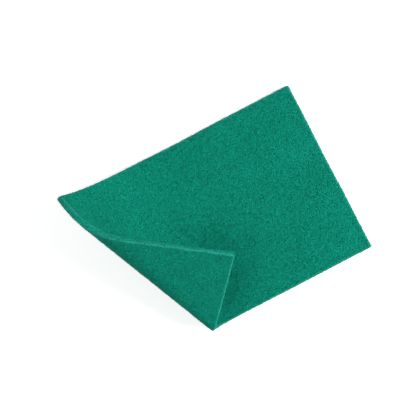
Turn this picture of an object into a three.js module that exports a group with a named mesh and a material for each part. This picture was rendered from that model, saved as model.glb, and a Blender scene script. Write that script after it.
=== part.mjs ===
// Nylon scouring pad: one rectangle of springy nonwoven web, cut square from a wide roll.
// It lies flat, with its front left corner lifted and turned over onto the pad.
// Millimetres, +Z up, long side along X, short side along Y.
//
// The web bends but doesn't stretch, so the turned corner is a developable surface: a fan of
// straight lines, the rulings, that all start from one point just outside the front edge.
// Along a ruling the web stays straight, and from one ruling to the next it bends.
// An open curl lifts the corner, and a crease turns it over. Close to the fan's centre both
// are tight, and towards the far edge they open out.

import * as THREE from 'three';

// Sizes of the pad as it is cut
const padLength = 230;
const padWidth = 150;
const padThickness = 5.5;
const cornerRadius = 1.5;

// The turned corner; directions are measured on the flat pad, from +X towards +Y
const turnedLength = 97; // along the front edge, from the left end to the fan's centre
const innerRadius = 1; // tightest radius on the inside of the bend, at the front edge
const curlTurn = THREE.MathUtils.degToRad(90.5); // what the web turns through in the curl
const creaseTurn = THREE.MathUtils.degToRad(71.5); // and in the crease, over and above that
const curlStart = THREE.MathUtils.degToRad(72); // ruling where the web leaves the flat
const curlLevel = THREE.MathUtils.degToRad(98.5); // ruling from which the curl is even
const creaseLine = THREE.MathUtils.degToRad(124); // ruling in the middle of the crease
const creaseHalf = THREE.MathUtils.degToRad(9); // from there to where the flap is straight

// Fineness of the faces
const rulingStep = THREE.MathUtils.degToRad(1); // between rulings inside the bend
const stepsAlongRuling = 6;
const stepsPerCorner = 4;
const marchStep = THREE.MathUtils.degToRad(0.1); // when the bend is followed ruling by ruling
const onRuling = 1e-9; // a point this close to a ruling lies on it

const webGreen = 0x0a8468;

// How much the web bends at a ruling; the bend's radius is the distance from the centre
// divided by this value. The curl rises by half a cosine wave from none at curlStart to
// curlBend at curlLevel, stays even up to the crease line, and falls to none behind it. The
// crease is a whole cosine wave about its line, creaseHalf to either side. Each of
// the two is as high as it takes to turn the web through its own angle.
const creaseEnd = creaseLine + creaseHalf;
const curlBend = curlTurn / ((curlLevel - curlStart) / 2 + creaseLine - curlLevel + creaseHalf / 2);
const creaseBend = creaseTurn / creaseHalf;

function halfWave(share) {
  return (1 - Math.cos(Math.PI * THREE.MathUtils.clamp(share, 0, 1))) / 2;
}

function bendAt(angle) {
  const rise = halfWave((angle - curlStart) / (curlLevel - curlStart));
  const fall = halfWave((creaseEnd - angle) / creaseHalf);
  const swell = halfWave(1 - Math.abs(angle - creaseLine) / creaseHalf);
  return curlBend * Math.min(rise, fall) + creaseBend * swell;
}

// The fan's centre lies so far in front of the edge that the tightest bend keeps innerRadius
const fanToEdge = bendAt(creaseLine) * (padThickness / 2 + innerRadius) * Math.sin(creaseLine);
const fanCentre = new THREE.Vector2(
  -padLength / 2 + turnedLength,
  -padWidth / 2 - fanToEdge,
);

// Outline of the cut pad, a rectangle with barely rounded corners, anticlockwise
function padOutline() {
  const outline = [];
  const corners = [[1, -1], [1, 1], [-1, 1], [-1, -1]];
  corners.forEach(([sideX, sideY], index) => {
    const centre = new THREE.Vector2(
      sideX * (padLength / 2 - cornerRadius),
      sideY * (padWidth / 2 - cornerRadius),
    );
    for (let step = 0; step <= stepsPerCorner; step++) {
      const angle = (index - 1 + step / stepsPerCorner) * Math.PI / 2;
      const offset = new THREE.Vector2(Math.cos(angle), Math.sin(angle)).multiplyScalar(cornerRadius);
      outline.push(centre.clone().add(offset));
    }
  });
  return outline;
}

const outline = padOutline();

// Distances from the fan's centre at which a ruling enters and leaves the outline
function rulingSpan(angle) {
  const along = new THREE.Vector2(Math.cos(angle), Math.sin(angle));
  const distances = [];
  outline.forEach((start, index) => {
    const end = outline[(index + 1) % outline.length];
    const a = start.clone().sub(fanCentre);
    const b = end.clone().sub(fanCentre);
    const [sideA, sideB] = [a, b].map((point) => {
      const side = along.cross(point);
      return Math.abs(side) < onRuling ? 0 : side;
    });
    if (sideA * sideB > 0 || sideA === sideB) return;
    distances.push(a.lerp(b, sideA / (sideA - sideB)).dot(along));
  });
  return [Math.min(...distances), Math.max(...distances)];
}

// Directions of the rulings: one through each point of the outline, so that the cut edge
// is exact, and one at every rulingStep of the bend between them
function rulingAngles() {
  const angles = outline.map((point) => point.clone().sub(fanCentre).angle());
  const steps = Math.ceil((creaseEnd - curlStart) / rulingStep);
  const closest = rulingStep / 4;
  for (let step = 0; step <= steps; step++) {
    const angle = curlStart + (creaseEnd - curlStart) * step / steps;
    if (angles.every((other) => Math.abs(other - angle) > closest)) angles.push(angle);
  }
  return angles.sort((a, b) => a - b);
}

// Carries the frame of one ruling on to another: ruling is the ruling's direction, and normal
// stands on the web. Each small step turns the frame about its normal by the step, and
// about its ruling by the step's bend.
function marchFrame(frame, fromAngle, toAngle) {
  const steps = Math.max(1, Math.ceil((toAngle - fromAngle) / marchStep));
  const step = (toAngle - fromAngle) / steps;
  for (let index = 0; index < steps; index++) {
    const bend = bendAt(fromAngle + (index + 0.5) * step);
    const axis = frame.normal.clone().addScaledVector(frame.ruling, bend);
    const turn = axis.length() * step;
    axis.normalize();
    frame.ruling.applyAxisAngle(axis, turn);
    frame.normal.applyAxisAngle(axis, turn);
  }
}

// The pad as a closed solid. Each ruling gives one row of points on the upper face and one on
// the lower, a half thickness to either side of the web's middle surface. At the first
// and the last ruling, which only touch the outline, a row is a single point.
function turnedPadGeometry() {
  const angles = rulingAngles();
  const last = angles.length - 1;
  const positions = [];
  const upper = [];
  const lower = [];
  const frame = {
    ruling: new THREE.Vector3(Math.cos(angles[0]), Math.sin(angles[0]), 0),
    normal: new THREE.Vector3(0, 0, 1),
  };
  const origin = new THREE.Vector3(fanCentre.x, fanCentre.y, padThickness / 2);

  function addPoint(distance, height) {
    const point = origin.clone();
    point.addScaledVector(frame.ruling, distance);
    point.addScaledVector(frame.normal, height);
    positions.push(point.x, point.y, point.z);
    return positions.length / 3 - 1;
  }

  angles.forEach((angle, index) => {
    if (index > 0) marchFrame(frame, angles[index - 1], angle);
    const [near, far] = rulingSpan(angle);
    const isPoint = index === 0 || index === last;
    for (const [rows, height] of [[upper, padThickness / 2], [lower, -padThickness / 2]]) {
      const row = [];
      for (let step = 0; step <= stepsAlongRuling; step++) {
        const distance = near + (far - near) * step / stepsAlongRuling;
        row.push(isPoint && step > 0 ? row[0] : addPoint(distance, height));
      }
      rows.push(row);
    }
  });

  const faces = [];
  function addTriangle(a, b, c) {
    if (a !== b && b !== c && c !== a) faces.push(a, b, c);
  }
  function addQuad(a, b, c, d) {
    addTriangle(a, b, c);
    addTriangle(a, c, d);
  }
  const end = stepsAlongRuling;
  for (let index = 0; index < last; index++) {
    const next = index + 1;
    for (let step = 0; step < end; step++) {
      const out = step + 1;
      addQuad(upper[index][step], upper[index][out], upper[next][out], upper[next][step]);
      addQuad(lower[index][step], lower[next][step], lower[next][out], lower[index][out]);
    }
    addQuad(upper[index][0], upper[next][0], lower[next][0], lower[index][0]);
    addQuad(upper[next][end], upper[index][end], lower[index][end], lower[next][end]);
  }

  const geometry = new THREE.BufferGeometry();
  geometry.setAttribute('position', new THREE.Float32BufferAttribute(positions, 3));
  geometry.setIndex(faces);
  geometry.computeVertexNormals();
  return geometry;
}

const web = new THREE.MeshStandardMaterial({ color: webGreen, roughness: 0.95, metalness: 0 });
const pad = new THREE.Mesh(turnedPadGeometry(), web);
pad.name = 'scouring_pad';

// The origin is the middle of the pad's own box, on the surface that the pad lies on
pad.geometry.computeBoundingBox();
const box = pad.geometry.boundingBox;
pad.position.set(-(box.min.x + box.max.x) / 2, -(box.min.y + box.max.y) / 2, -box.min.z);

const part = new THREE.Group();
part.add(pad);

export default part;
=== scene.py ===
import math

import bpy
import numpy as np
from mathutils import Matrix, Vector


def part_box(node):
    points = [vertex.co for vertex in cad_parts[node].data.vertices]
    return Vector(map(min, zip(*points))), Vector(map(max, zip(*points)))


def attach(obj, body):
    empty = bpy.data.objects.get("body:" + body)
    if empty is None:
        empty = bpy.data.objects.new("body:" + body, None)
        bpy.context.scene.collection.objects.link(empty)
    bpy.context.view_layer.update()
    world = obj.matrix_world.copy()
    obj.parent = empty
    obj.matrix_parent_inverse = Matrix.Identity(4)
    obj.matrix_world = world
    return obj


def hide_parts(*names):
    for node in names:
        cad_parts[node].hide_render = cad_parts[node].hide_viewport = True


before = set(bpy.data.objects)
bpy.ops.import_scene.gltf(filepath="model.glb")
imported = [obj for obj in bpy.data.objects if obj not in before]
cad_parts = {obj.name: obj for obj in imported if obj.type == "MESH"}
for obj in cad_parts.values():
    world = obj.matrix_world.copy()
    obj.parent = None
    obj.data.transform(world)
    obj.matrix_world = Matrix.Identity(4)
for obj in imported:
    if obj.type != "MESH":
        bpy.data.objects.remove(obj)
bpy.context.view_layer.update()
mm = 0.001
tiny = 1e-12  # keeps a division by a length from failing

# Where each part's random numbers start from
seeds = {
    "upperTangle": 11,
    "lowerTangle": 12,
    "edgeTangle": 13,
    "cutNoise": 14,
    "loftStep": 50,  # a face's loft starts this much after its tangle
    "upperGrid": 21,
    "lowerGrid": 22,
    "wallNoise": 23,
    "upper_fibres_a": 31,
    "upper_fibres_b": 32,
    "under_fibres": 33,
    "edge_fibres": 35,
}

# The web as it is cut, and the fan of rulings that its turned corner bends along.
# Directions are measured on the flat web, in degrees from +X towards +Y.
webSheet = {
    "length": 230 * mm,  # along X
    "width": 150 * mm,  # along Y
    "thickness": 5.5 * mm,
    "cornerRadius": 1.5 * mm,
    "turnedLength": 97 * mm,  # along the front edge, from the left end to the fan's centre
    "innerRadius": 1 * mm,  # tightest inside radius, at the front edge
    "curlTurn": 90.5,  # what the web turns through in the curl that lifts the corner
    "creaseTurn": 71.5,  # and in the crease that turns it over
    "curlStart": 72.0,
    "curlLevel": 98.5,
    "creaseLine": 124.0,
    "creaseHalf": 9.0,
    "steps": 1800,  # small steps that the bend is followed in
    "outlinePoints": 801,  # to a side, where the web is laid over the frame
}


# Half a cosine wave, from 0 to 1 while the share goes from 0 to 1
def halfWave(share):
    return (1 - np.cos(math.pi * np.clip(share, 0, 1))) / 2


# The bend at a ruling: the curl rises by half a wave, stays even up to the crease line and
# falls behind it, and the crease adds a whole wave about its line. Each has the height
# that turns the web through its own angle.
def bendAt(angle):
    keys = ("curlStart", "curlLevel", "creaseLine", "creaseHalf")
    start, level, line, half = (math.radians(webSheet[key]) for key in keys)
    curl = math.radians(webSheet["curlTurn"]) / ((level - start) / 2 + line - level + half / 2)
    crease = math.radians(webSheet["creaseTurn"]) / half
    rise = halfWave((angle - start) / (level - start))
    fall = halfWave((line + half - angle) / half)
    return curl * np.minimum(rise, fall) + crease * halfWave(1 - np.abs(angle - line) / half)


# Follows the ruling's direction and the web's normal round the fan. Over each small step of
# angle both turn about the axis normal + bend x ruling, by the axis's length x the step.
def followFan():
    angles = np.linspace(0, math.pi, webSheet["steps"] + 1)
    step = angles[1]
    bends = bendAt(angles[:-1] + step / 2)
    pair = np.array([[1.0, 0, 0], [0, 0, 1.0]])  # ruling, normal
    pairs = [pair]
    for bend in bends:
        axis = pair[1] + bend * pair[0]
        turn = np.linalg.norm(axis) * step
        axis = axis / np.linalg.norm(axis)
        along = (pair @ axis)[:, None] * axis
        pair = along + (pair - along) * math.cos(turn) + np.cross(axis, pair) * math.sin(turn)
        pairs.append(pair)
    line = math.radians(webSheet["creaseLine"])
    inside = webSheet["thickness"] / 2 + webSheet["innerRadius"]
    fanToEdge = bendAt(line) * inside * math.sin(line)
    centreX = webSheet["turnedLength"] - webSheet["length"] / 2
    centreY = -webSheet["width"] / 2 - fanToEdge
    return angles, np.array(pairs), np.array([centreX, centreY])


fanAngles, fanPairs, fanCentre = followFan()
webShift = np.zeros(3)


# Puts a point of the flat web in its place on the bent one: centre + distance x ruling
# + height x normal, with distance and angle measured from the fan's centre.
def onWeb(x, y, height):
    dx, dy = x - fanCentre[0], y - fanCentre[1]
    angle = np.arctan2(dy, dx)
    ruling = np.stack([np.interp(angle, fanAngles, fanPairs[:, 0, k]) for k in range(3)], -1)
    normal = np.stack([np.interp(angle, fanAngles, fanPairs[:, 1, k]) for k in range(3)], -1)
    ruling /= np.linalg.norm(ruling, axis=-1, keepdims=True)
    normal /= np.linalg.norm(normal, axis=-1, keepdims=True)
    centre = np.array([fanCentre[0], fanCentre[1], webSheet["thickness"] / 2]) + webShift
    place = centre + np.hypot(dx, dy)[..., None] * ruling + height[..., None] * normal
    return place, normal


# The box of the plain web, from its outline on both faces, is laid over the CAD node's box:
# the shift sideways is the middle of one box - the middle of the other.
def fitWebToFrame():
    edge = np.linspace(-1, 1, webSheet["outlinePoints"])
    one = np.ones_like(edge)
    x = np.concatenate([edge, edge, one, -one]) * webSheet["length"] / 2
    y = np.concatenate([one, -one, edge, edge]) * webSheet["width"] / 2
    half = np.full_like(x, webSheet["thickness"] / 2)
    points = np.concatenate([onWeb(x, y, half)[0], onWeb(x, y, -half)[0]])
    low, high = (np.array(corner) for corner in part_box("scouring_pad"))
    shift = (low + high - points.min(0) - points.max(0)) / 2
    shift[2] = 0
    return shift


webShift = fitWebToFrame()
print("web placed", webShift.round(5))

# Height of the tangle of fibres over one face, on a fine raster of the flat web
tangle = {
    "cell": 0.25 * mm,
    "margin": 6 * mm,
    "strokes": 30000,
    "strokePoints": 44,
    "curl": 1.3,  # how much a stroke wanders, in radians
    "waves": (0.3, 1.2),  # how many times it does so
    "fineBlur": 1.3,  # these four are in cells
    "coarseBlur": 3.0,
    "loftBlur": 40.0,
    "cutBlur": 60.0,
}


# Blurs a raster by a bell curve of the given width, in cells, through its spectrum: each
# wave is weakened by exp(-2 x (pi x width x frequency)^2).
def blur(raster, width):
    fx = np.fft.fftfreq(raster.shape[0])[:, None]
    fy = np.fft.rfftfreq(raster.shape[1])[None]
    bell = np.exp(-2 * (math.pi * width) ** 2 * (fx**2 + fy**2))
    return np.fft.irfft2(np.fft.rfft2(raster) * bell, raster.shape)


# Brings a raster to a mean of 0 and a spread of 1: (value - mean) / spread
def normalised(raster):
    return (raster - raster.mean()) / raster.std()


# Lays wandering strokes over the raster and counts how many cross each cell: the heading of
# a stroke is its first heading + a slow sine wave along it.
def tangleRaster(seed):
    rng = np.random.default_rng(seed)
    cell, margin = tangle["cell"], tangle["margin"]
    shape = [int(round((webSheet[key] + 2 * margin) / cell)) for key in ("length", "width")]
    count, points = tangle["strokes"], tangle["strokePoints"]
    along = np.arange(points)[None] / points
    heading = rng.uniform(0, math.pi, (count, 1))
    wave = rng.uniform(*tangle["waves"], (count, 1)) * along + rng.random((count, 1))
    heading = heading + tangle["curl"] * rng.normal(0, 1, (count, 1)) * np.sin(2 * math.pi * wave)
    x = rng.uniform(0, shape[0], (count, 1)) + np.cumsum(np.cos(heading), 1)
    y = rng.uniform(0, shape[1], (count, 1)) + np.cumsum(np.sin(heading), 1)
    index = (x.astype(int) % shape[0]) * shape[1] + y.astype(int) % shape[1]
    raster = np.bincount(index.ravel(), minlength=shape[0] * shape[1]).reshape(shape)
    return raster.astype(float)


# Reads a raster at points of the flat web, straight-line between its four nearest cells.
def readRaster(raster, x, y):
    u = (x + webSheet["length"] / 2 + tangle["margin"]) / tangle["cell"] - 0.5
    v = (y + webSheet["width"] / 2 + tangle["margin"]) / tangle["cell"] - 0.5
    i = np.clip(np.floor(u).astype(int), 0, raster.shape[0] - 2)
    j = np.clip(np.floor(v).astype(int), 0, raster.shape[1] - 2)
    a, b = np.clip(u - i, 0, 1), np.clip(v - j, 0, 1)
    low = raster[i, j] * (1 - a) + raster[i + 1, j] * a
    high = raster[i, j + 1] * (1 - a) + raster[i + 1, j + 1] * a
    return low * (1 - b) + high * b


# A face's two rasters: fine = the strokes blurred a little - the same blurred more, and loft,
# the slow rise and fall of the web = blurred noise.
def faceRasters(seed):
    strokes = tangleRaster(seed)
    fine = normalised(blur(strokes, tangle["fineBlur"]) - blur(strokes, tangle["coarseBlur"]))
    noise = np.random.default_rng(seed + seeds["loftStep"]).normal(0, 1, strokes.shape)
    loft = normalised(blur(noise, tangle["loftBlur"]))
    return {"fine": fine, "loft": loft}


upperRasters = faceRasters(seeds["upperTangle"])
lowerRasters = faceRasters(seeds["lowerTangle"])
edgeRasters = faceRasters(seeds["edgeTangle"])
cutNoise = np.random.default_rng(seeds["cutNoise"]).normal(0, 1, upperRasters["fine"].shape)
cutRaster = normalised(blur(cutNoise, tangle["cutBlur"]))
print("tangle laid")

# The visible web: one closed skin, its two faces and the cut edge between them
webSkin = {
    "cell": 0.89 * mm,
    "jitter": 0.3,  # of a cell
    "tangleHeight": 0.12 * mm,
    "tangleLimit": 2.0,  # the tangle's height levels off at this many times its own
    "loftHeight": 0.06 * mm,
    "edgeDrop": 0.35 * mm,  # how much lower a face is at the cut edge
    "edgeFall": 0.9 * mm,  # and how near the edge that comes
    "edgeRows": 8,
    "edgeRound": 0.55 * mm,  # how far the faces stop short of the cut edge
    "edgePower": 3,
    "edgeRough": 0.17 * mm,
    "edgeNoise": 0.5,  # of the roughness, from point to point
    "wallStretch": 3.0,  # how much the tangle is squeezed from face to face on the cut edge
    "cutWander": 0.12 * mm,  # how far the hand-cut outline strays
    "wanderScale": (0.9, 0.5, 0.6),
    "rimHighlight": (0.3, 0.55, 3),  # painted highlight halfway down the cut edge, what the rim's painted highlight adds, its power
    # how sharply the painted shade follows the tangle's low and high spots
    "depthGain": 0.7,
}


# Slides points of the flat web by a slow wander, so that its cut edges aren't ruler straight:
# x + wander x noise(first y, second x), and y + wander x noise(first x, third y).
def wander(x, y):
    first, second, third = webSkin["wanderScale"]
    slideX = webSkin["cutWander"] * readRaster(cutRaster, y * first, x * second)
    slideY = webSkin["cutWander"] * readRaster(cutRaster, x * first, y * third)
    return x + slideX, y + slideY


# Rounds the outline's corners: in each corner's square a point keeps its direction from the
# rounding's centre, and its distance becomes the larger of its two offsets.
def roundCorners(x, y):
    radius = webSheet["cornerRadius"]
    inX, inY = webSheet["length"] / 2 - radius, webSheet["width"] / 2 - radius
    ox, oy = np.maximum(np.abs(x) - inX, 0), np.maximum(np.abs(y) - inY, 0)
    corner = (ox > 0) & (oy > 0)
    pull = np.where(corner, np.maximum(ox, oy) / np.maximum(np.hypot(ox, oy), tiny), 1)
    newX = np.where(corner, np.sign(x) * (inX + ox * pull), x)
    newY = np.where(corner, np.sign(y) * (inY + oy * pull), y)
    return newX, newY


# Puts whole arrays into a new mesh object. A face's first corner is the sum of the corner
# counts before it; uv is given by corner, and each list in floats by point.
def newMesh(name, points, loops, loopTotals, uv=None, floats=None):
    mesh = bpy.data.meshes.new(name)
    mesh.vertices.add(len(points))
    mesh.vertices.foreach_set("co", points.astype(np.float32).ravel())
    mesh.loops.add(len(loops))
    mesh.loops.foreach_set("vertex_index", loops.astype(np.int32))
    mesh.polygons.add(len(loopTotals))
    starts = np.concatenate([[0], np.cumsum(loopTotals)[:-1]])
    mesh.polygons.foreach_set("loop_start", starts.astype(np.int32))
    mesh.polygons.foreach_set("loop_total", loopTotals.astype(np.int32))
    mesh.polygons.foreach_set("use_smooth", np.ones(len(loopTotals), bool))
    if uv is not None:
        mesh.uv_layers.new(name="flat").data.foreach_set("uv", uv.astype(np.float32).ravel())
    for key, values in (floats or {}).items():
        attribute = mesh.attributes.new(key, "FLOAT", "POINT")
        attribute.data.foreach_set("value", values.astype(np.float32))
    mesh.update(calc_edges=True)
    mesh.validate()
    piece = bpy.data.objects.new(name, mesh)
    bpy.context.scene.collection.objects.link(piece)
    return piece


# A face of the web: an even grid over the flat rectangle, its inner points shaken by up to
# jitter x cell. The two outer rings stay in line.
def faceGrid(seed):
    rng = np.random.default_rng(seed)
    nx = int(round(webSheet["length"] / webSkin["cell"])) + 1
    ny = int(round(webSheet["width"] / webSkin["cell"])) + 1
    x, y = np.meshgrid(np.linspace(-1, 1, nx), np.linspace(-1, 1, ny), indexing="ij")
    x, y = x * webSheet["length"] / 2, y * webSheet["width"] / 2
    shake = rng.uniform(-1, 1, (2, nx, ny)) * webSkin["jitter"] * webSkin["cell"]
    shake[:, [0, 1, -2, -1]] = 0
    shake[:, :, [0, 1, -2, -1]] = 0
    return x + shake[0], y + shake[1]


# Numbers of the grid's outer ring, anticlockwise from its front left corner: the number of a
# point is its column x ny + its row.
def ringOf(nx, ny):
    index = np.arange(nx * ny).reshape(nx, ny)
    return np.concatenate([index[:-1, 0], index[-1, :-1], index[:0:-1, -1], index[0, :0:-1]])


# One face of the skin. It rises over the plain web by height x limit x tanh(tangle / limit)
# + loft height x loft - drop x nearness, where nearness = exp(-distance to the cut / fall).
# The lower face stays inside the plain web. It gives back its points, the tangle that the
# painted shade on its low spots follows, and nearness squared, a painted highlight along its rim.
def skinFace(x, y, rasters, side):
    flatX, flatY = roundCorners(x.ravel(), y.ravel())
    fine = readRaster(rasters["fine"], flatX, flatY)
    limit = webSkin["tangleLimit"]
    rise = webSkin["tangleHeight"] * np.tanh(fine / limit) * limit
    rise = rise + webSkin["loftHeight"] * readRaster(rasters["loft"], flatX, flatY)
    if side < 0:
        rise = np.minimum(rise - webSkin["tangleHeight"], 0)
    toEdgeX = webSheet["length"] / 2 - np.abs(flatX)
    toEdgeY = webSheet["width"] / 2 - np.abs(flatY)
    nearness = np.exp(-np.minimum(toEdgeX, toEdgeY) / webSkin["edgeFall"])
    rise = rise - webSkin["edgeDrop"] * nearness
    insetX = 1 - webSkin["edgeRound"] / (webSheet["length"] / 2)
    insetY = 1 - webSkin["edgeRound"] / (webSheet["width"] / 2)
    movedX, movedY = wander(flatX * insetX, flatY * insetY)
    points = onWeb(movedX, movedY, side * (webSheet["thickness"] / 2 + rise))[0]
    return points, fine, nearness**2


# The cut edge, in rows of points from the upper face to the lower. A point stands off the
# plain edge by roughness x rough - rounding x |2 level - 1|^power, where level goes from 0
# at the upper face to 1 at the lower. Its painted highlight = middle + rim x |2 level - 1|^power.
def cutWall(ringX, ringY, ringLength):
    rows, thickness = webSkin["edgeRows"], webSheet["thickness"]
    outX, outY = ringX - np.roll(ringX, 1), ringY - np.roll(ringY, 1)
    outX, outY = outX + np.roll(outX, -1), outY + np.roll(outY, -1)
    outX, outY = outY / np.hypot(outX, outY), -outX / np.hypot(outX, outY)
    level = (np.arange(1, rows) / rows)[:, None] * np.ones(len(ringX))
    around = ringLength[None] * np.ones((rows - 1, 1))
    past = np.mod(around, webSheet["length"]) - webSheet["length"] / 2
    rough = readRaster(edgeRasters["fine"], past, (level - 0.5) * thickness * webSkin["wallStretch"])
    rng = np.random.default_rng(seeds["wallNoise"])
    rough = rough + rng.normal(0, webSkin["edgeNoise"], rough.shape)
    fromMiddle = np.abs(2 * level - 1)
    push = webSkin["edgeRough"] * rough - webSkin["edgeRound"] * fromMiddle ** webSkin["edgePower"]
    edgeX, edgeY = wander(ringX + outX * push, ringY + outY * push)
    middle, rimHighlight, power = webSkin["rimHighlight"]
    points = onWeb(edgeX, edgeY, thickness * (0.5 - level))[0]
    return points, rough, middle + rimHighlight * fromMiddle**power


# The skin's flat pattern, in lengths of the pad: (x, y) on the upper face, (x, y + 1) on the
# lower, and (height, distance round the edge + 2) on the cut edge.
def skinUv(x, y, quads, ringLength):
    length, rows = webSheet["length"], webSkin["edgeRows"]
    flat = np.stack([x.ravel(), y.ravel()], -1) / length
    corners = np.concatenate([ringLength, [ringLength[-1] + webSkin["cell"]]]) / length
    heights = np.arange(rows + 1) / rows * webSheet["thickness"] / length
    here, there = corners[:-1], corners[1:]
    above, below = heights[:-1], heights[1:]
    aroundEdge = np.stack([here, here, there, there], -1)[None] * np.ones((rows, 1, 1))
    down = np.stack([above, below, below, above], -1)[:, None] * np.ones((1, len(here), 1))
    wall = np.stack([down, aroundEdge], -1).reshape(-1, 2)
    upper = flat[quads].reshape(-1, 2)
    lower = flat[quads[:, ::-1]].reshape(-1, 2)
    return np.concatenate([upper, lower + [0, 1], wall + [0, 2]])


# Joins both faces and the cut edge into one closed mesh. Each cell of the grid is a face, and
# each step from row to row and from point to point round the cut edge is one too.
def buildSkin():
    x, y = faceGrid(seeds["upperGrid"])
    nx, ny = x.shape
    ring = ringOf(nx, ny)
    ringX, ringY = roundCorners(x.ravel()[ring], y.ravel()[ring])
    ringLength = np.concatenate([[0], np.cumsum(np.hypot(np.diff(ringX), np.diff(ringY)))])
    upper, upperFine, upperNear = skinFace(x, y, upperRasters, 1)
    lower, lowerFine, lowerNear = skinFace(*faceGrid(seeds["lowerGrid"]), lowerRasters, -1)
    edge, rough, wallHighlight = cutWall(ringX, ringY, ringLength)
    points = np.concatenate([upper, lower, edge.reshape(-1, 3)])
    fine = np.concatenate([upperFine, lowerFine, rough.ravel()])
    # painted highlight: a thin band of each face beside the cut, and the cut edge itself
    cut = np.concatenate([upperNear, lowerNear, wallHighlight.ravel()])

    count = nx * ny
    index = np.arange(count).reshape(nx, ny)
    quads = np.stack([index[:-1, :-1], index[1:, :-1], index[1:, 1:], index[:-1, 1:]], -1)
    quads = quads.reshape(-1, 4)
    edgeIndex = np.arange(rough.size).reshape(rough.shape) + 2 * count
    bands = np.concatenate([ring[None], edgeIndex, ring[None] + count])
    after = np.roll(bands, -1, 1)
    walls = np.stack([bands[:-1], bands[1:], after[1:], after[:-1]], -1).reshape(-1, 4)
    faces = np.concatenate([quads, quads[:, ::-1] + count, walls])

    uv = skinUv(x, y, quads, ringLength)
    # tangle: painted shade, darker on the skin's low spots and where the cut edge is pushed in; cut:
    # painted highlight on the cut edge, palest at its rims, and on a thin band of each face beside it
    floats = {"tangle": 0.5 + 0.5 * np.tanh(fine * webSkin["depthGain"]), "cut": cut}
    return newMesh("pad_web", points, faces.ravel(), np.full(len(faces), 4), uv, floats)


# Loose and looped fibres on the faces, each a thin tube along a wandering path
faceFibre = {
    "columns": 98,  # fibres to a piece: one in each cell of columns x rows
    "rows": 61,
    "points": 6,
    "length": (4 * mm, 8.5 * mm),
    "radius": (0.045 * mm, 0.085 * mm),
    "taper": (0.5, 3),  # how much thinner the ends are, and the power that it comes with
    "curl": 1.1,  # spread of how far one turns along its length, in radians
    "wiggle": 0.9,
    "waves": (0.6, 1.6),  # of the wiggle
    "bow": (0.22 * mm, 0.48 * mm),  # how high the middle stands above its ends
    "sink": 0.18 * mm,  # how deep the ends lie in the web
    "ripple": 0.12 * mm,
    "rippleWaves": 2.3,
    "overhang": 0.4 * mm,  # how far some reach past the cut
    "flatPast": 8.0,  # degrees past curlStart up to which none stands below the underside
    "outOver": 0.2,  # radians in which they come out after that
    "under": 0.02 * mm,  # how deep they lie until then
    "shade": (0.1, 1.0),
}
# Cut ends along the edge
edgeFibre = {
    "count": 7000,
    "points": 5,
    "length": (1.4 * mm, 3.0 * mm),
    "radius": (0.06 * mm, 0.11 * mm),
    "taper": 0.4,
    "out": 0.85 * mm,  # how far they reach past the cut, times a share
    "outShare": (0.55, 0.4),  # its middle value and its spread
    "fan": 1.0,  # spread of their headings, and how much they curl, in radians
    "curl": 1.3,
    "spread": 0.46,  # of the thickness, up and down from the middle
    "drift": 0.5 * mm,  # up or down along one
    "lowest": 0.1 * mm,  # above the lower face
    "highest": 0.2 * mm,  # above the upper face
    "shade": (0.5, 1.0),
}
tubeSides = 3


# Tubes along many paths at once. Round each path point stand three corners, at radius x
# (cos, sin) of three even angles, in the plane of side and up, which follow the path.
def tubes(name, paths, normals, radii, shade):
    count, points = paths.shape[:2]
    ahead = np.gradient(paths, axis=1)
    ahead /= np.linalg.norm(ahead, axis=-1, keepdims=True) + tiny
    side = np.cross(ahead, normals)
    side /= np.linalg.norm(side, axis=-1, keepdims=True) + tiny
    up = np.cross(side, ahead)
    turn = np.arange(tubeSides) * 2 * math.pi / tubeSides + math.pi / 2
    ring = side[:, :, None] * np.cos(turn)[:, None] + up[:, :, None] * np.sin(turn)[:, None]
    corners = (paths[:, :, None] + radii[..., None, None] * ring).reshape(-1, 3)
    index = np.arange(count * points * tubeSides).reshape(count, points, tubeSides)
    here, there = index[:, :-1], index[:, 1:]
    quads = np.stack([here, there, np.roll(there, -1, 2), np.roll(here, -1, 2)], -1)
    quads = quads.reshape(-1, 4)
    caps = np.concatenate([index[:, 0], index[:, -1, ::-1]])
    loops = np.concatenate([quads.ravel(), caps.ravel()])
    totals = np.concatenate([np.full(len(quads), 4), np.full(len(caps), tubeSides)])
    floats = {"tangle": np.repeat(shade, points * tubeSides)}
    return newMesh(name, corners, loops, totals, None, floats)


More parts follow.
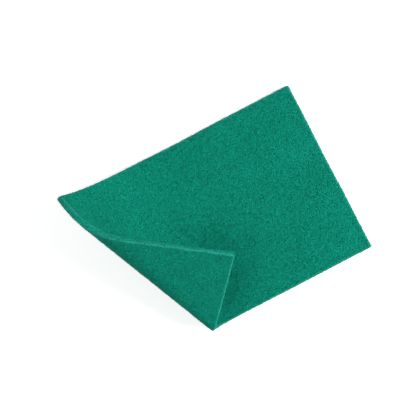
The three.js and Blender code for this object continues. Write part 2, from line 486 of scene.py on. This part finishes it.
# Fibres on a face: heading = first heading + curl x distance + a sine wave, and the height
# over the face is a bow, half a sine wave, less the sink, plus a small ripple. Each fibre's
# middle falls at random in a cell of its own, and one that would reach too far past the
# cut is moved back by what it is over.
def faceFibres(name, side):
    s = faceFibre
    rng = np.random.default_rng(seeds[name])
    columns, rows, points = s["columns"], s["rows"], s["points"]
    count = columns * rows
    along = np.linspace(0, 1, points)[None]
    pick = lambda low, high: rng.uniform(low, high, (count, 1))  # one value to a fibre
    heading = pick(0, 2 * math.pi) + rng.normal(0, s["curl"], (count, 1)) * along
    heading = heading + s["wiggle"] * np.sin(2 * math.pi * (pick(*s["waves"]) * along + pick(0, 1)))
    step = pick(*s["length"]) / (points - 1)
    cell = np.arange(count)[:, None]
    path = []
    for size, turned, share in (
        (webSheet["length"], np.cos(heading), (cell // rows + pick(0, 1)) / columns),
        (webSheet["width"], np.sin(heading), (cell % rows + pick(0, 1)) / rows),
    ):
        run = np.cumsum(turned * step, 1)
        run = run - run.mean(1, keepdims=True) + (share - 0.5) * size
        reach = size / 2 + s["overhang"] * (pick(-1, 1) if side > 0 else -1)
        run = run - np.maximum(run.max(1, keepdims=True) - reach, 0)
        path.append(run + np.maximum(-reach - run.min(1, keepdims=True), 0))
    x, y = path
    height = pick(*s["bow"]) * np.sin(math.pi * along) - s["sink"]
    height = height + s["ripple"] * np.sin(2 * math.pi * (s["rippleWaves"] * along + pick(0, 1)))
    if side < 0:  # nothing stands below the underside where the web lies on the floor
        angle = np.arctan2(y - fanCentre[1], x - fanCentre[0])
        flatTo = math.radians(webSheet["curlStart"] + s["flatPast"])
        lifted = np.clip((angle - flatTo) / s["outOver"], 0, 1)
        covered = height * lifted - s["under"] * (1 - lifted)
        height = np.where(height > -s["under"], covered, height)
    x, y = wander(x, y)
    place, normal = onWeb(x, y, side * (webSheet["thickness"] / 2 + height))
    taper, power = s["taper"]
    radii = pick(*s["radius"]) * (1 - taper * np.abs(2 * along - 1) ** power)
    place[..., 2] = np.maximum(place[..., 2], radii)
    return tubes(name, place, side * normal, radii, rng.uniform(*s["shade"], count))


# Cut ends along the edge. One starts inside the web, at the cut - (length - reach past the
# cut), and its points lie at distance x (cos, sin) of its heading, which turns along it.
def edgeFibres(name):
    s = edgeFibre
    rng = np.random.default_rng(seeds[name])
    count, points = s["count"], s["points"]
    length, width, thickness = (webSheet[key] for key in ("length", "width", "thickness"))
    along = np.linspace(0, 1, points)[None]
    pick = lambda low, high: rng.uniform(low, high, (count, 1))  # one value to a fibre
    spot = pick(0, 2 * (length + width))
    side = np.digitize(spot, [length, length + width, 2 * length + width])
    run = [spot, spot - length, spot - length - width, spot - 2 * length - width]
    onSide = [side == 0, side == 1, side == 2]
    startX = np.select(onSide, [run[0] - length / 2, length / 2, length / 2 - run[2]], -length / 2)
    startY = np.select(onSide, [-width / 2, run[1] - width / 2, width / 2], width / 2 - run[3])
    outward = (side - 1) * math.pi / 2
    heading = outward + rng.normal(0, s["fan"], (count, 1))
    heading = heading + rng.normal(0, s["curl"], (count, 1)) * along
    size = pick(*s["length"])
    reach = np.cumsum(np.full((count, points), 1.0) * size / (points - 1), 1) - size / (points - 1)
    back = size - s["out"] * np.abs(rng.normal(*s["outShare"], (count, 1)))
    x = startX - np.cos(outward) * back + np.cos(heading) * reach
    y = startY - np.sin(outward) * back + np.sin(heading) * reach
    height = pick(-s["spread"], s["spread"]) * thickness
    height = height + rng.normal(0, s["drift"], (count, 1)) * along
    height = np.clip(height, -thickness / 2 + s["lowest"], thickness / 2 + s["highest"])
    x, y = wander(x, y)
    place, normal = onWeb(x, y, height)
    radii = pick(*s["radius"]) * (1 - s["taper"] * along)
    place[..., 2] = np.maximum(place[..., 2], radii)
    return tubes(name, place, normal, radii, rng.uniform(*s["shade"], count))


webFinish = {
    # Colours of the web. The darkest is painted shade in the gaps between strands, and body is the web's
    # own green.
    "gapShade": (0.0001, 0.034, 0.020),
    "body": (0.0002, 0.188, 0.118),
    # The palest is the strands' lighter tone with a painted highlight, its red lifted for the pale
    # glints of lit fibres.
    "tipToneAndHighlight": (0.0073, 0.410, 0.281),
    # A painted highlight along the cut edge and its rims
    "edgeHighlightColour": (0.040, 0.520, 0.400),
    "bodyStop": 0.5,  # where body lies between the painted gap shade, 0, and the tip colour, 1
    "skinLevel": 0.0,  # where the skin lies on that scale, between strands
    "strandShare": 1.05,  # how much a strand adds to that
    # How much painted shade darkens the skin's low spots
    "depthShadeShare": 0.16,
    "fibreLevel": 0.48,
    "fibreShare": 0.60,
    "edgeHighlightShare": (1.1, 0.12),  # how much painted edge highlight a strand has, and the gaps between them
    "patches": {"Scale": 55.0, "Detail": 3.0, "Roughness": 0.55},
    "patchSpread": 0.05,
    "strands": 450.0,  # noise cells across the flat pattern's unit length
    "strandStretch": 0.5,
    "strandWidth": 0.048,  # how far the noise may be from its middle value inside a strand
    "strandNoise": {"Scale": 1.0, "Detail": 1.0, "Roughness": 0.5, "Distortion": 0.6},
    "strandLayers": ((0.35, 0.0), (1.45, 3.7), (2.55, 7.9)),  # turn in radians, and shift
    "bump": {"Strength": 0.5, "Distance": 0.3 * mm},
    "surface": {
        "Roughness": 0.9,
        "Specular IOR Level": 0.05,
        "Sheen Weight": 0.05,
        "Sheen Roughness": 0.6,
        "Sheen Tint": (0.03, 0.9, 0.7, 1),
    },
}


# Adds a node, and sets each of its named sockets to its own value: socket = value.
def addNode(tree, kind, sockets):
    node = tree.nodes.new(kind)
    for key, value in sockets.items():
        node.inputs[key].default_value = value
    return node


# Mixes two colours: MULTIPLY gives first x second, and MIX gives first + factor x (second
# - first). Each of the three may be a socket or a value. A colour mix has its two colours
# on sockets 6 and 7 and gives the result on 2.
def mixColour(tree, mode, factor, first, second):
    node = tree.nodes.new("ShaderNodeMix")
    node.data_type = "RGBA"
    node.blend_type = mode
    for socket, value in ((node.inputs[0], factor), (node.inputs[6], first), (node.inputs[7], second)):
        if isinstance(value, bpy.types.NodeSocket):
            tree.links.new(value, socket)
        elif isinstance(value, (int, float)):
            socket.default_value = value
        else:
            socket.default_value = (*value, 1)
    return node.outputs[2]


# One calculation on sockets or values: MULTIPLY_ADD gives first x second + third, and the
# others what their names say.
def maths(tree, operation, first, second=0.0, third=0.0):
    node = tree.nodes.new("ShaderNodeMath")
    node.operation = operation
    for socket, value in zip(node.inputs, (first, second, third)):
        if isinstance(value, bpy.types.NodeSocket):
            tree.links.new(value, socket)
        else:
            socket.default_value = value
    return node.outputs[0]


# Three layers of stretched noise, each turned another way, over the flat web. A strand runs
# where a layer's noise is near its middle value: strand = 1 - |noise - 0.5| / width, not
# below 0. The highest of the three at a point is the strand that lies on top there.
def strandLayers(tree, coordinates):
    density = webFinish["strands"]
    top = 0.0
    for turn, shift in webFinish["strandLayers"]:
        mapping = addNode(tree, "ShaderNodeMapping", {
            "Rotation": (0, 0, turn),
            "Location": (shift, shift, 0),
            "Scale": (density, density * webFinish["strandStretch"], 1),
        })
        tree.links.new(coordinates, mapping.inputs["Vector"])
        noise = addNode(tree, "ShaderNodeTexNoise", webFinish["strandNoise"])
        tree.links.new(mapping.outputs["Vector"], noise.inputs["Vector"])
        away = maths(tree, "ABSOLUTE", maths(tree, "SUBTRACT", noise.outputs[0], 0.5))
        strand = maths(tree, "MULTIPLY_ADD", away, -1 / webFinish["strandWidth"], 1.0)
        top = maths(tree, "MAXIMUM", strand, top)
    return top


# The web's material. Its colour runs from the darkest, painted shade in the gaps between strands,
# over body to the palest, the strands' tone with a painted highlight, with a level: on the skin,
# skinLevel + its share x tangle + strandShare x strand, where tangle adds painted shade to its
# low spots, and on a loose fibre, fibreLevel + fibreShare x its own random shade. Slow patches
# multiply it by 1 + patchSpread x (noise - 0.5), and the cut edge and its rims take a painted
# highlight by cut x (strand x the strands' share + the gaps' share).
def webMaterial(name, onSkin):
    material = bpy.data.materials.new(name)
    material.use_nodes = True
    tree = material.node_tree
    tree.nodes.clear()
    output = tree.nodes.new("ShaderNodeOutputMaterial")
    shader = addNode(tree, "ShaderNodeBsdfPrincipled", webFinish["surface"])
    tree.links.new(shader.outputs[0], output.inputs["Surface"])
    # On the skin, the tangle attribute is painted shade, darker on its low spots; on a fibre, its own
    # random tone.
    depth = tree.nodes.new("ShaderNodeAttribute")
    depth.attribute_name = "tangle"
    level = depth.outputs["Fac"]
    place = tree.nodes.new("ShaderNodeTexCoord")
    patches = addNode(tree, "ShaderNodeTexNoise", webFinish["patches"])
    tree.links.new(place.outputs["Object"], patches.inputs["Vector"])
    # The ramp runs from painted gap shade over body to the strands' tone with a painted highlight.
    ramp = tree.nodes.new("ShaderNodeValToRGB")
    ramp.color_ramp.elements.new(webFinish["bodyStop"])
    stops = ((0.0, "gapShade"), (webFinish["bodyStop"], "body"), (1.0, "tipToneAndHighlight"))
    for element, (position, key) in zip(ramp.color_ramp.elements, stops):
        element.position = position
        element.color = (*webFinish[key], 1)
    if onSkin:
        uvNode = tree.nodes.new("ShaderNodeUVMap")
        uvNode.uv_map = "flat"
        strands = strandLayers(tree, uvNode.outputs[0])
        between = maths(tree, "MULTIPLY_ADD", level, webFinish["depthShadeShare"], webFinish["skinLevel"])
        level = maths(tree, "MULTIPLY_ADD", strands, webFinish["strandShare"], between)
        bump = addNode(tree, "ShaderNodeBump", webFinish["bump"])
        tree.links.new(strands, bump.inputs["Height"])
        tree.links.new(bump.outputs[0], shader.inputs["Normal"])
    else:
        level = maths(tree, "MULTIPLY_ADD", level, webFinish["fibreShare"], webFinish["fibreLevel"])
    tree.links.new(level, ramp.inputs[0])
    spread = webFinish["patchSpread"]
    patchTone = maths(tree, "MULTIPLY_ADD", patches.outputs[0], spread, 1 - spread / 2)
    tone = tree.nodes.new("ShaderNodeCombineColor")
    for socket in tone.inputs[:3]:
        tree.links.new(patchTone, socket)
    colour = mixColour(tree, "MULTIPLY", 1.0, ramp.outputs[0], tone.outputs[0])
    if onSkin:
        # Painted highlight on the cut edge and the faces' rims
        cut = tree.nodes.new("ShaderNodeAttribute")
        cut.attribute_name = "cut"
        broken = maths(tree, "MULTIPLY_ADD", strands, *webFinish["edgeHighlightShare"])
        edgeShare = maths(tree, "MULTIPLY", cut.outputs["Fac"], broken)
        colour = mixColour(tree, "MIX", edgeShare, colour, webFinish["edgeHighlightColour"])
    tree.links.new(colour, shader.inputs["Base Color"])
    return material


skinMaterial = webMaterial("green_web_skin", True)
fibreMaterial = webMaterial("green_web_fibre", False)

padWeb = buildSkin()
padWeb.data.materials.append(skinMaterial)
print("skin built", len(padWeb.data.polygons), "faces")

fibrePieces = [
    faceFibres("upper_fibres_a", 1),
    faceFibres("upper_fibres_b", 1),
    faceFibres("under_fibres", -1),
    edgeFibres("edge_fibres"),
]
for piece in fibrePieces:
    piece.data.materials.append(fibreMaterial)
print("fibres laid", sum(len(piece.data.polygons) for piece in fibrePieces), "faces")

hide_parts("scouring_pad")
for piece in [padWeb, *fibrePieces]:
    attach(piece, "root")

# Straight down over the pad, turned so that the pad lies askew as it does in the picture
viewFrom = {
    "height": 1.000,
    "overX": 10.9 * mm,  # from the middle of the flat web
    "overY": 14.1 * mm,
    "turn": -27.56,  # degrees about the upright
    "seenWidth": 347.9 * mm,  # at the floor
    "sensor": 36.0,
    "near": 0.01,
    "far": 20.0,
}


# Sets the camera so that its picture is seenWidth wide at the floor: lens = sensor x height
# / seenWidth.
def placeCamera():
    data = bpy.data.cameras.new("camera")
    camera = bpy.data.objects.new("camera", data)
    data.sensor_fit = "HORIZONTAL"
    data.sensor_width = viewFrom["sensor"]
    data.lens = viewFrom["sensor"] * viewFrom["height"] / viewFrom["seenWidth"]
    data.clip_start = viewFrom["near"]
    data.clip_end = viewFrom["far"]
    x, y = webShift[0] + viewFrom["overX"], webShift[1] + viewFrom["overY"]
    camera.location = (x, y, viewFrom["height"])
    camera.rotation_euler = (0, 0, math.radians(viewFrom["turn"]))
    bpy.context.scene.collection.objects.link(camera)
    bpy.context.scene.camera = camera


studio = {
    "worldLight": 0.35,
    "floorColour": 0.9,
    "floorGlow": 0.45,
    "floorSize": 6.0,
}
# Two soft lamps, to the picture's right and left; azimuth in degrees from +X towards +Y
lamps = {
    "key_lamp": {"azimuth": -21.0, "elevation": 31.0, "distance": 1.5, "size": 1.0, "power": 25.0},
    "fill_lamp": {"azimuth": 152.4, "elevation": 60.0, "distance": 1.5, "size": 1.0, "power": 9.0},
}


# 1 for what the camera sees straight, in a gloss or through glass, and 0 for light on the
# object: the largest of the three.
def seenRay(tree):
    path = tree.nodes.new("ShaderNodeLightPath")
    seen = maths(tree, "MAXIMUM", path.outputs["Is Camera Ray"], path.outputs["Is Glossy Ray"])
    return maths(tree, "MAXIMUM", seen, path.outputs["Is Transmission Ray"])


# The world is white where it is seen and dimmer as a light: seen x (1 - worldLight)
# + worldLight.
def lightWorld():
    world = bpy.data.worlds.new("studio")
    bpy.context.scene.world = world
    world.use_nodes = True
    tree = world.node_tree
    tree.nodes.clear()
    output = tree.nodes.new("ShaderNodeOutputWorld")
    background = tree.nodes.new("ShaderNodeBackground")
    strength = maths(tree, "MULTIPLY_ADD", seenRay(tree), 1 - studio["worldLight"], studio["worldLight"])
    tree.links.new(strength, background.inputs["Strength"])
    tree.links.new(background.outputs[0], output.inputs["Surface"])


# A pale square at z = 0 that takes the pad's shadow: diffuse + seen x floorGlow.
def layFloor():
    half = studio["floorSize"] / 2
    points = np.array([[-half, -half, 0], [half, -half, 0], [half, half, 0], [-half, half, 0]])
    floor = newMesh("floor", points, np.arange(4), np.array([4]))
    material = bpy.data.materials.new("floor_white")
    material.use_nodes = True
    tree = material.node_tree
    tree.nodes.clear()
    output = tree.nodes.new("ShaderNodeOutputMaterial")
    shade = studio["floorColour"]
    diffuse = addNode(tree, "ShaderNodeBsdfDiffuse", {"Color": (shade, shade, shade, 1)})
    glow = addNode(tree, "ShaderNodeEmission", {"Color": (1, 1, 1, 1)})
    tree.links.new(maths(tree, "MULTIPLY", seenRay(tree), studio["floorGlow"]), glow.inputs["Strength"])
    both = tree.nodes.new("ShaderNodeAddShader")
    tree.links.new(diffuse.outputs[0], both.inputs[0])
    tree.links.new(glow.outputs[0], both.inputs[1])
    tree.links.new(both.outputs[0], output.inputs["Surface"])
    floor.data.materials.append(material)


# A round soft lamp that faces the middle of the floor. Its place is distance x (cos
# elevation x cos azimuth, cos elevation x sin azimuth, sin elevation).
def hangLamp(name, azimuth, elevation, distance, size, power):
    data = bpy.data.lights.new(name, "AREA")
    data.shape = "DISK"
    data.size = size
    data.energy = power
    lamp = bpy.data.objects.new(name, data)
    around, above = math.radians(azimuth), math.radians(elevation)
    level = distance * math.cos(above)
    lamp.location = (level * math.cos(around), level * math.sin(around), distance * math.sin(above))
    lamp.rotation_euler = (0, math.pi / 2 - above, around)
    bpy.context.scene.collection.objects.link(lamp)


placeCamera()
lightWorld()
layFloor()
for name, lamp in lamps.items():
    hangLamp(name, **lamp)
bpy.context.scene.view_settings.view_transform = "Standard"
print("studio set")
